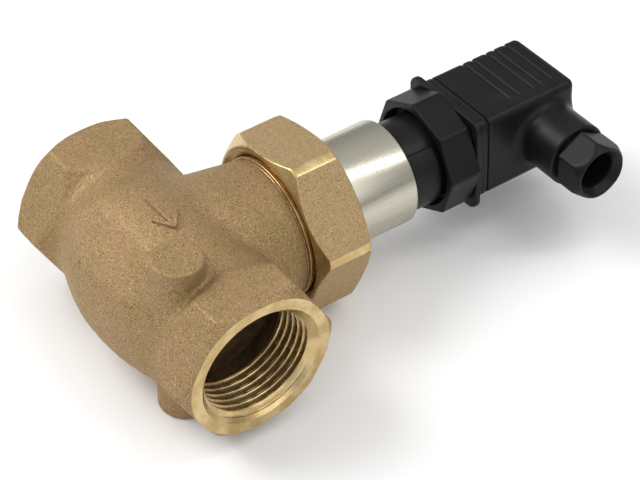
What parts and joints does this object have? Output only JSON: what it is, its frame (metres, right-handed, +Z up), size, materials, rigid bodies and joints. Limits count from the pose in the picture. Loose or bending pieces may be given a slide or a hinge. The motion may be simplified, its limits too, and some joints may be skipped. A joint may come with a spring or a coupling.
{
  "type": "solenoid valve",
  "caption": "Bronze globe-body solenoid valve with female pipe ports, union-nut bonnet, stainless coil sleeve and a black cable plug with side gland.",
  "frame": {"origin": "where the pipe run axis and the branch axis cross, inside the body", "axes": "+X along the flow to the outlet, +Y along the branch to the cable plug, +Z up from the run, through the upper cast pad side"},
  "size_m": [0.082, 0.1494, 0.0508],
  "materials": {
    "bronze_casting": "sand-cast bronze skin, fine grain",
    "machined_brass": "turned, satin",
    "stainless": "brushed along its length",
    "steel_plated": "zinc plated",
    "spring_steel": "drawn wire",
    "magnetic_steel": "turned, ferritic stainless",
    "black_nylon": "moulded, slight gloss",
    "seal_rubber": "nitrile",
    "ptfe": "PTFE",
    "fibre_gasket": "pressed fibre",
    "bobbin_plastic": "glass-filled nylon",
    "copper_wire": "enamelled copper wire",
    "lead_insulation": "insulated wire",
    "tinned_contact": "tinned brass"
  },
  "bodies": {
    "valve": {"valve_body": "bronze_casting", "bonnet": "machined_brass", "body_gasket": "fibre_gasket", "piston_spring": "spring_steel", "armature_spring": "spring_steel", "core_tube": "stainless", "fixed_core": "magnetic_steel", "lower_pole_plate": "steel_plated", "coil_bobbin": "bobbin_plastic", "coil_winding": "copper_wire", "upper_pole_plate": "steel_plated", "core_washer": "steel_plated", "core_nut": "steel_plated", "coil_sleeve": "stainless", "coil_leads": "lead_insulation", "plug_adapter": "black_nylon", "connector_base": "black_nylon", "contact_pins": "tinned_contact"},
    "union_nut": {"union_nut": "bronze_casting"},
    "piston": {"piston": "machined_brass", "piston_ring": "ptfe", "seat_seal": "seal_rubber", "seal_retainer": "stainless", "retainer_nut": "stainless"},
    "armature": {"armature": "magnetic_steel", "pilot_seal": "seal_rubber"},
    "lock_nut": {"lock_nut": "black_nylon"},
    "plug": {"flat_gasket": "seal_rubber", "connector_housing": "black_nylon", "terminal_block": "black_nylon", "terminals": "tinned_contact", "terminal_screws": "steel_plated", "screw_seal": "seal_rubber", "gland_grommet": "seal_rubber", "gland_washer": "ptfe"},
    "fixing_screw": {"fixing_screw": "steel_plated"},
    "gland_nut": {"gland_nut": "black_nylon"}
  },
  "joints": [
    {"name": "piston_lift", "type": "slide", "parent": "valve", "child": "piston", "axis": [0, 1, 0], "range_m": [0, 0.007], "stiffness_N_per_m": 450, "springref_m": -0.004, "deforming": ["piston_spring"]},
    {"name": "armature_lift", "type": "slide", "parent": "piston", "child": "armature", "axis": [0, 1, 0], "range_m": [0, 0.002], "stiffness_N_per_m": 150, "springref_m": -0.003, "deforming": ["armature_spring"]},
    {"name": "union_nut_turn", "type": "hinge", "parent": "valve", "child": "union_nut", "pos_m": [0, 0.039, 0], "axis": [0, 1, 0], "continuous": true},
    {"name": "lock_nut_turn", "type": "hinge", "parent": "valve", "child": "lock_nut", "pos_m": [0, 0.0835, 0], "axis": [0, 1, 0], "continuous": true},
    {"name": "plug_pull", "type": "slide", "parent": "valve", "child": "plug", "axis": [0, 1, 0], "range_m": [0, 0.025]},
    {"name": "fixing_screw_turn", "type": "hinge", "parent": "plug", "child": "fixing_screw", "pos_m": [0, 0.11, 0], "axis": [0, 1, 0], "continuous": true},
    {"name": "gland_nut_turn", "type": "hinge", "parent": "plug", "child": "gland_nut", "pos_m": [0.02397, 0.1141, 0.00113], "axis": [0.9989, 0, 0.0471], "continuous": true}
  ]
}
